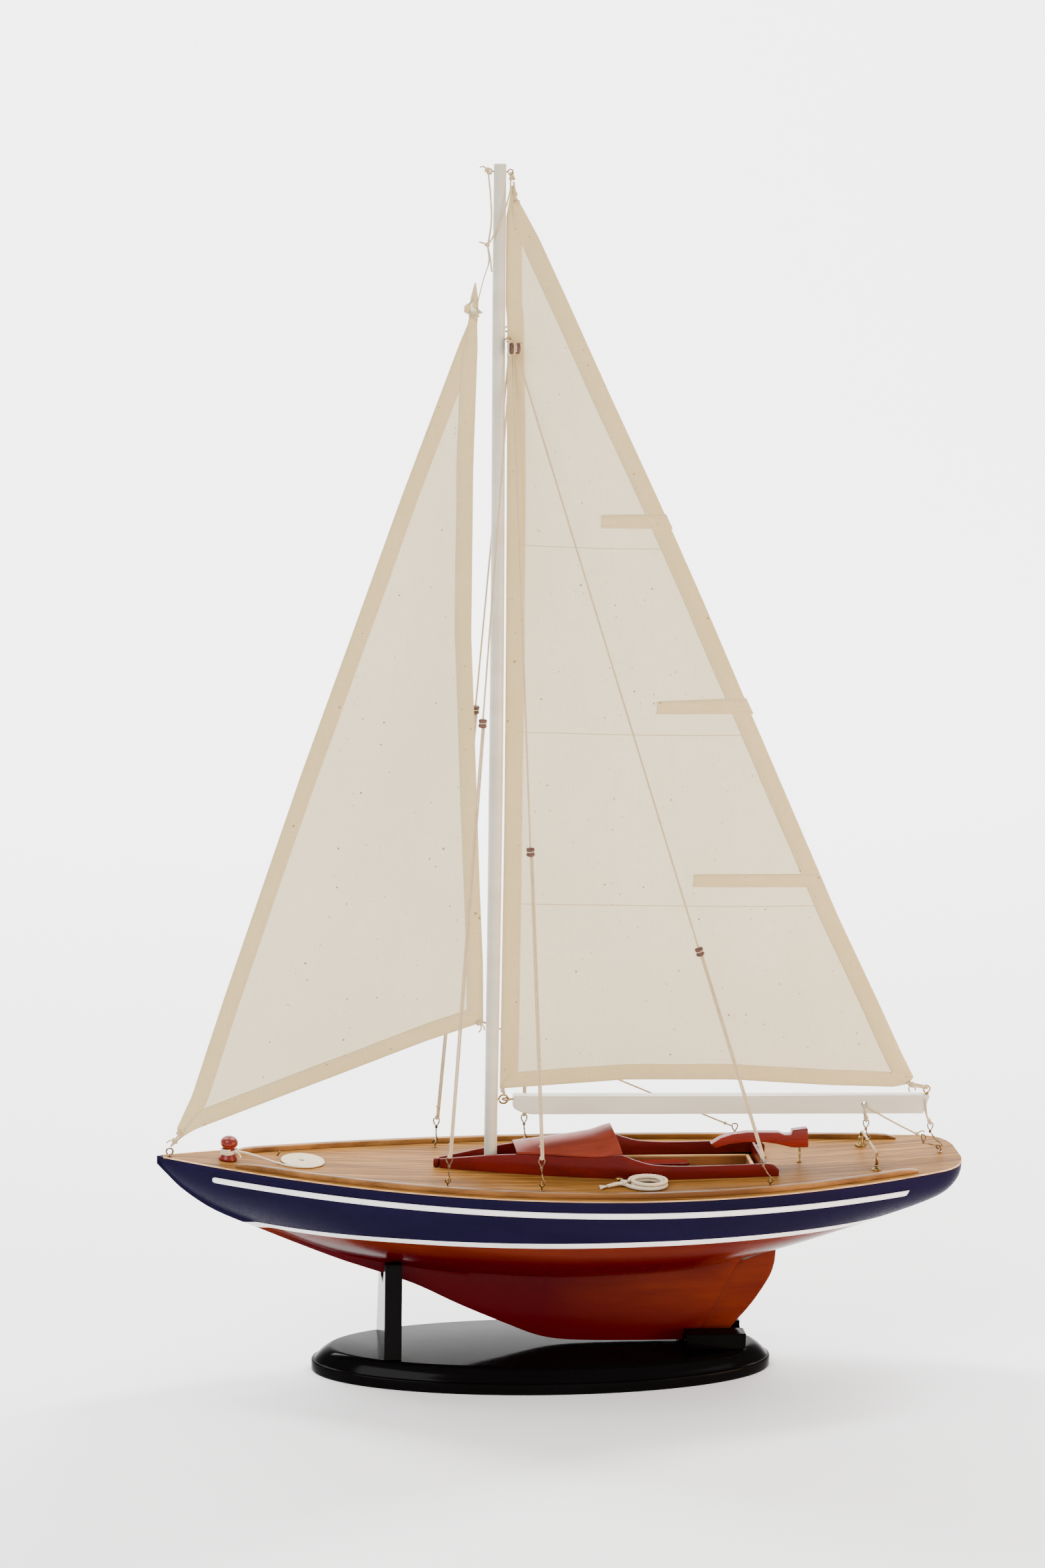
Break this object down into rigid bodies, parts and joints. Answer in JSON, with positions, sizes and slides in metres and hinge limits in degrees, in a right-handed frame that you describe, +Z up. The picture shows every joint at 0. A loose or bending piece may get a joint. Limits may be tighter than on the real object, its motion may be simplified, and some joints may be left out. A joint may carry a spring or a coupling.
{
  "type": "display sailboat",
  "caption": "Sloop-rigged pond yacht with full keel, swinging boom, two cotton sails, corded stays and an oval stand.",
  "frame": {"origin": "centre of the stand's flat underside", "axes": "+X towards the stern, -Y to port, +Z up the mast"},
  "size_m": [0.42, 0.115, 0.6261],
  "materials": {
    "stand_black": "black gloss lacquer",
    "topside_navy": "navy gloss paint",
    "bottom_red": "red gloss paint",
    "line_white": "white gloss paint",
    "deck_ash": "satin varnish",
    "rail_oak": "satin varnish",
    "mahogany": "gloss varnish",
    "spar_white": "off-white satin paint",
    "brass": "polished",
    "wire": "dull bronze wire",
    "cord": "twisted cotton",
    "rope": "soft twisted cotton",
    "sailcloth": "plain cotton",
    "bead_wood": "waxed"
  },
  "bodies": {
    "stand": {"stand_base": "stand_black", "stand_post": "stand_black", "stand_block": "stand_black"},
    "boat": {"hull": "topside_navy", "keel": "bottom_red", "rudder": "bottom_red", "deck": "deck_ash", "toe_rail_port": "rail_oak", "toe_rail_starboard": "rail_oak", "cove_strip_port": "line_white", "cove_strip_starboard": "line_white", "coaming_port": "mahogany", "coaming_starboard": "mahogany", "coaming_tip": "mahogany", "cabin_roof": "mahogany", "cockpit_well": "deck_ash", "cockpit_benches": "mahogany", "cockpit_aft_board": "mahogany", "mast_step": "deck_ash", "mast": "spar_white", "mast_eyes": "brass", "upper_bead": "bead_wood", "gooseneck_eye": "brass", "bow_eye": "brass", "stern_eye": "brass", "chainplate_eyes": "brass", "stay_hooks": "wire", "stay_port_fore": "cord", "stay_port_mid": "cord", "stay_port_aft": "cord", "stay_starboard_fore": "cord", "stay_starboard_mid": "cord", "jib": "sailcloth", "jib_halyard": "cord", "jib_tack_tie": "cord", "jib_sheet": "cord", "jib_sheet_hook": "wire", "boom_end_sheet": "cord", "boom_mid_sheet": "cord", "sheet_hooks": "wire", "traveller": "brass", "tiller_pin": "brass", "bow_bitt": "mahogany", "deck_nails": "brass", "mooring_line": "rope", "mooring_coil": "rope", "cleat_rope_tail": "rope", "cleat_rope_coil": "rope"},
    "boom": {"boom": "spar_white", "boom_eye": "brass", "clew_eye": "brass", "mainsail": "sailcloth", "main_ties": "cord"},
    "tiller": {"tiller": "mahogany"},
    "bowsie_port_fore": {"bowsie_port_fore": "bead_wood"},
    "bowsie_port_mid": {"bowsie_port_mid": "bead_wood"},
    "bowsie_port_aft": {"bowsie_port_aft": "bead_wood"},
    "bowsie_starboard_fore": {"bowsie_starboard_fore": "bead_wood"},
    "bowsie_starboard_mid": {"bowsie_starboard_mid": "bead_wood"}
  },
  "joints": [
    {"name": "boat_lift", "type": "slide", "parent": "stand", "child": "boat", "axis": [0, 0, 1], "range_m": [0, 0.06]},
    {"name": "boom_swing", "type": "hinge", "parent": "boat", "child": "boom", "pos_m": [-0.02297, 0, 0.1465], "axis": [-0.0192, 0, 0.9998], "range_deg": [-8, 8]},
    {"name": "tiller_swing", "type": "hinge", "parent": "boat", "child": "tiller", "pos_m": [0.1327, 0, 0.1235], "axis": [0, 0, 1], "range_deg": [-35, 35]},
    {"name": "bowsie_port_fore_slide", "type": "slide", "parent": "boat", "child": "bowsie_port_fore", "axis": [0.0559, 0.0708, 0.9959], "range_m": [0, 0.01]},
    {"name": "bowsie_port_mid_slide", "type": "slide", "parent": "boat", "child": "bowsie_port_mid", "axis": [-0.0559, 0.0862, 0.9947], "range_m": [0, 0.01]},
    {"name": "bowsie_port_aft_slide", "type": "slide", "parent": "boat", "child": "bowsie_port_aft", "axis": [-0.3141, 0.0813, 0.9459], "range_m": [0, 0.01]},
    {"name": "bowsie_starboard_fore_slide", "type": "slide", "parent": "boat", "child": "bowsie_starboard_fore", "axis": [0.0559, -0.0708, 0.9959], "range_m": [0, 0.01]},
    {"name": "bowsie_starboard_mid_slide", "type": "slide", "parent": "boat", "child": "bowsie_starboard_mid", "axis": [-0.0559, -0.0862, 0.9947], "range_m": [0, 0.01]}
  ]
}
